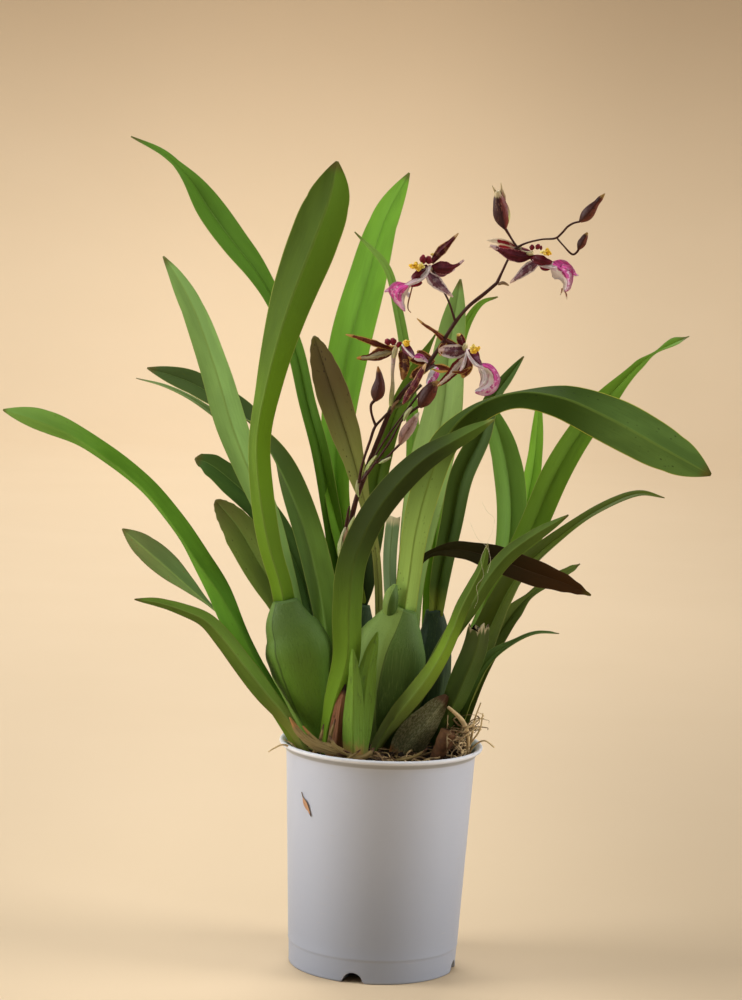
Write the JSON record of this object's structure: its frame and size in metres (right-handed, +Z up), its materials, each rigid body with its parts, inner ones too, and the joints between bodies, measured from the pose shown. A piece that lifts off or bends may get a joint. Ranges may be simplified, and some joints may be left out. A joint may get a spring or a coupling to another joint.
{
  "type": "potted orchid plant",
  "caption": "Potted oncidium orchid: flattened bulbs with long strap leaves and a branching flower spike, standing in a plain round plastic pot.",
  "frame": {"origin": "centre of the pot's flat base, on the surface it stands on", "axes": "+Z up along the pot's axis; -Y is the side that the flowers face; +X is to the right seen from that side"},
  "size_m": [0.4107, 0.2219, 0.4825],
  "materials": {
    "pot_plastic": "satin, pale lilac grey",
    "potting_mix": "dark bark and fibre",
    "bulb_skin": "waxy blue green",
    "leaf_green": "waxy, fine lengthwise veins",
    "leaf_dark": "older, darker leaf",
    "leaf_brown": "ageing brown leaf",
    "dry_sheath": "dry papery sheath",
    "root": "wiry dry root",
    "spike_stem": "dark maroon stem",
    "petal": "maroon with pale edges",
    "lip": "pink lip with yellow crest",
    "bud_skin": "dark maroon bud"
  },
  "bodies": {
    "root": {"bulb_left": "bulb_skin", "bulb_centre": "bulb_skin", "bulb_right": "bulb_skin", "bulb_back": "bulb_skin", "pot": "pot_plastic", "potting_mix": "potting_mix", "new_shoot_sheath": "leaf_green", "new_shoot_leaf": "leaf_green", "dry_sheath_front": "dry_sheath", "papery_sheath": "dry_sheath", "flower_spike": "spike_stem", "leaf_left_long_arch": "leaf_green", "leaf_front_centre": "leaf_green", "leaf_front_tall": "leaf_green", "leaf_right_arch": "leaf_green", "leaf_right_front": "leaf_green", "leaf_right_front_long": "leaf_green", "leaf_cut_right": "leaf_green", "leaf_left_low": "leaf_green", "leaf_left_upright": "leaf_green", "leaf_light_thin": "leaf_green", "leaf_back_left": "leaf_green", "leaf_behind_flowers": "leaf_green", "leaf_right_blade": "leaf_green", "leaf_right_far": "leaf_green", "leaf_right_thin_upright": "leaf_green", "leaf_back_thin": "leaf_green", "leaf_back_broad": "leaf_green", "leaf_twisted_tip": "leaf_green", "leaf_right_upright": "leaf_dark", "leaf_dark_long": "leaf_dark", "leaf_brown_green": "leaf_dark", "leaf_dark_round": "leaf_dark", "leaf_olive": "leaf_dark", "leaf_behind_spike": "leaf_dark", "cut_leaf_stump": "leaf_dark", "leaf_right_low": "leaf_dark", "leaf_right_hidden": "leaf_dark", "leaf_right_small": "leaf_dark", "leaf_brown": "leaf_brown", "leaf_left_brown": "leaf_brown", "spike_bract_low": "dry_sheath", "spike_bract_middle": "leaf_green", "bud_top": "bud_skin", "bud_right_outer": "bud_skin", "bud_right_inner": "bud_skin", "bud_left": "bud_skin", "bud_middle": "bud_skin", "bud_low": "bud_skin", "flower_right_tepals": "petal", "flower_right_lip": "lip", "flower_left_tepals": "petal", "flower_left_lip": "lip", "flower_middle_left_tepals": "petal", "flower_middle_left_lip": "lip", "flower_centre_tepals": "petal", "flower_centre_lip": "lip", "flower_back": "petal", "root_tangle": "root"}
  },
  "joints": []
}
